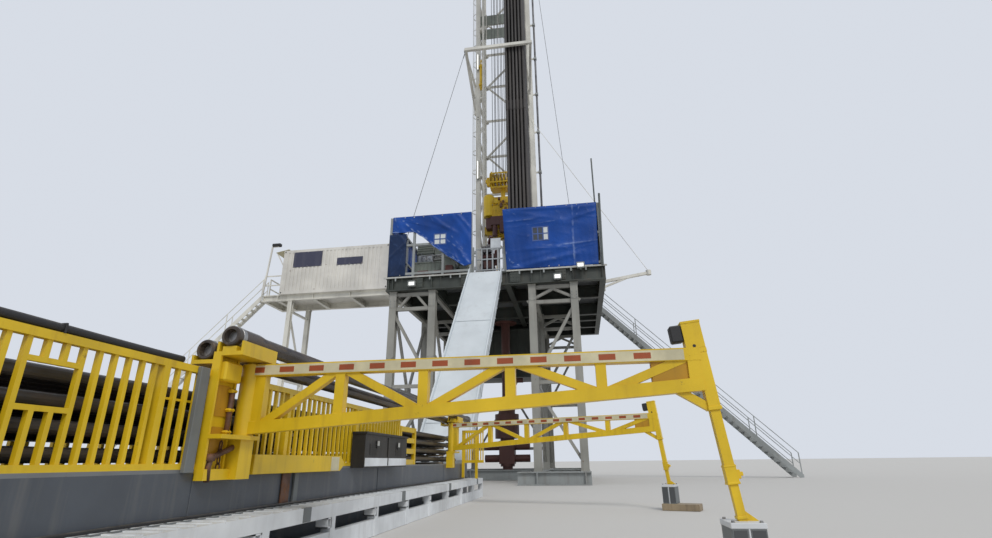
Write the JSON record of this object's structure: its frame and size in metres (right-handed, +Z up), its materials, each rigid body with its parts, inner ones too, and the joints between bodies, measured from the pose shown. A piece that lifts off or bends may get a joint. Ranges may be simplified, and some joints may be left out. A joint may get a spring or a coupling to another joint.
{
  "type": "half-size scale model of a land drilling rig",
  "caption": "Land drilling rig on tall skid towers with a lattice mast, tarpaulin windwalls, a side cabin, a sloping pipe ramp, a guarded catwalk and hinged pipe arms.",
  "frame": {"origin": "well centre at ground level, on the lower face of the blowout preventer's bottom flange", "axes": "+Z up along the well and the mast; -Y from the well through the V-door along the ramp and the catwalk; +X to the right seen from the catwalk"},
  "size_m": [17.275, 16.15, 26.335],
  "materials": {
    "steel_grey": "weathered grey paint with dust",
    "steel_light": "light warm grey paint, streaked",
    "steel_dark": "dark green-grey paint",
    "deck_steel": "worn checker plate",
    "cast_dark": "oiled cast iron",
    "preventer_red": "dusty red paint",
    "gate_grey": "matt grey paint",
    "tarpaulin": "coated woven fabric with creases",
    "ramp_grey": "light blue-grey paint, scuffed",
    "mast_cream": "cream-white paint, weathered",
    "pipe_steel": "greasy dark steel",
    "machine_yellow": "yellow paint with grease",
    "bare_steel": "machined steel",
    "wire_rope": "greased wire rope",
    "container_white": "aged white paint with stains",
    "skid_blue_grey": "blue-grey paint, scraped",
    "safety_yellow": "bright yellow paint, chipped",
    "walkway_grey": "light grey paint, worn",
    "cabinet_black": "black powder coat"
  },
  "bodies": {
    "rig_frame": {"base_left": "steel_grey", "base_right": "steel_grey", "base_spreader": "steel_grey", "tower_left": "steel_grey", "tower_right": "steel_grey", "tower_cross": "steel_grey", "floor_frame": "steel_dark", "floor_deck": "deck_steel", "rotary_table": "cast_dark", "bop_stack": "preventer_red", "gate_posts": "gate_grey", "windwall_frame": "steel_light", "tarp_front_left": "tarpaulin", "tarp_front_right": "tarpaulin", "tarp_side_left": "tarpaulin", "tarp_side_right": "tarpaulin", "tarp_back": "tarpaulin", "vdoor_ramp": "ramp_grey", "mast_side_left": "mast_cream", "mast_side_right": "mast_cream", "mast_back": "mast_cream", "crown_block": "mast_cream", "racking_board": "mast_cream", "belly_frame": "mast_cream", "cable_tray": "steel_dark", "racked_pipe": "pipe_steel", "drawworks": "machine_yellow", "guide_rails": "mast_cream", "drill_lines": "wire_rope", "fast_line": "wire_rope", "house_platform": "steel_light", "house_shell": "container_white", "house_door": "gate_grey", "house_leg": "steel_light", "house_stair": "steel_light", "floor_stair": "steel_grey", "corner_pole": "steel_grey", "outrigger": "steel_light", "stay_left": "wire_rope", "stay_right": "wire_rope", "catwalk_skid": "skid_blue_grey", "catwalk_deck": "deck_steel", "guard_right": "safety_yellow", "guard_left": "safety_yellow", "side_walkway": "walkway_grey", "power_cabinet": "cabinet_black", "hinge_near": "safety_yellow", "hinge_far": "safety_yellow", "rack_pipes": "pipe_steel", "end_guards": "safety_yellow", "under_tank": "steel_dark"},
    "hoist_carriage": {"top_drive": "machine_yellow", "travelling_block": "machine_yellow"},
    "drive_quill": {"quill": "bare_steel"},
    "pipe_links": {"elevator_links": "machine_yellow"},
    "gate_leaf": {"vdoor_gate": "gate_grey"},
    "near_arm": {"arm_near": "safety_yellow"},
    "near_leg": {"leg_near": "safety_yellow"},
    "far_arm": {"arm_far": "safety_yellow"},
    "far_leg": {"leg_far": "safety_yellow"}
  },
  "joints": [
    {"name": "hoist", "type": "slide", "parent": "rig_frame", "child": "hoist_carriage", "axis": [0, 0, 1], "range_m": [-0.35, 15.5], "deforming": ["drill_lines"]},
    {"name": "quill_spin", "type": "hinge", "parent": "hoist_carriage", "child": "drive_quill", "pos_m": [0, 0, 6.1], "axis": [0, 0, 1], "continuous": true},
    {"name": "link_tilt", "type": "hinge", "parent": "hoist_carriage", "child": "pipe_links", "pos_m": [0, 0, 6.2], "axis": [1, 0, 0], "range_deg": [-40, 15]},
    {"name": "gate_swing", "type": "hinge", "parent": "rig_frame", "child": "gate_leaf", "pos_m": [-0.24, -2.935, 4.3], "axis": [0, 0, 1], "range_deg": [0, 85]},
    {"name": "near_arm_swing", "type": "hinge", "parent": "rig_frame", "child": "near_arm", "pos_m": [0.37, -11.15, 0.6], "axis": [0, 0, 1], "range_deg": [-65, 0]},
    {"name": "near_leg_raise", "type": "slide", "parent": "near_arm", "child": "near_leg", "axis": [-0.1028, 0, 0.9947], "range_m": [0, 0.18]},
    {"name": "far_arm_swing", "type": "hinge", "parent": "rig_frame", "child": "far_arm", "pos_m": [0.37, -7.4, 0.6], "axis": [0, 0, 1], "range_deg": [0, 80]},
    {"name": "far_leg_raise", "type": "slide", "parent": "far_arm", "child": "far_leg", "axis": [-0.0966, 0.0352, 0.9947], "range_m": [0, 0.18]}
  ]
}
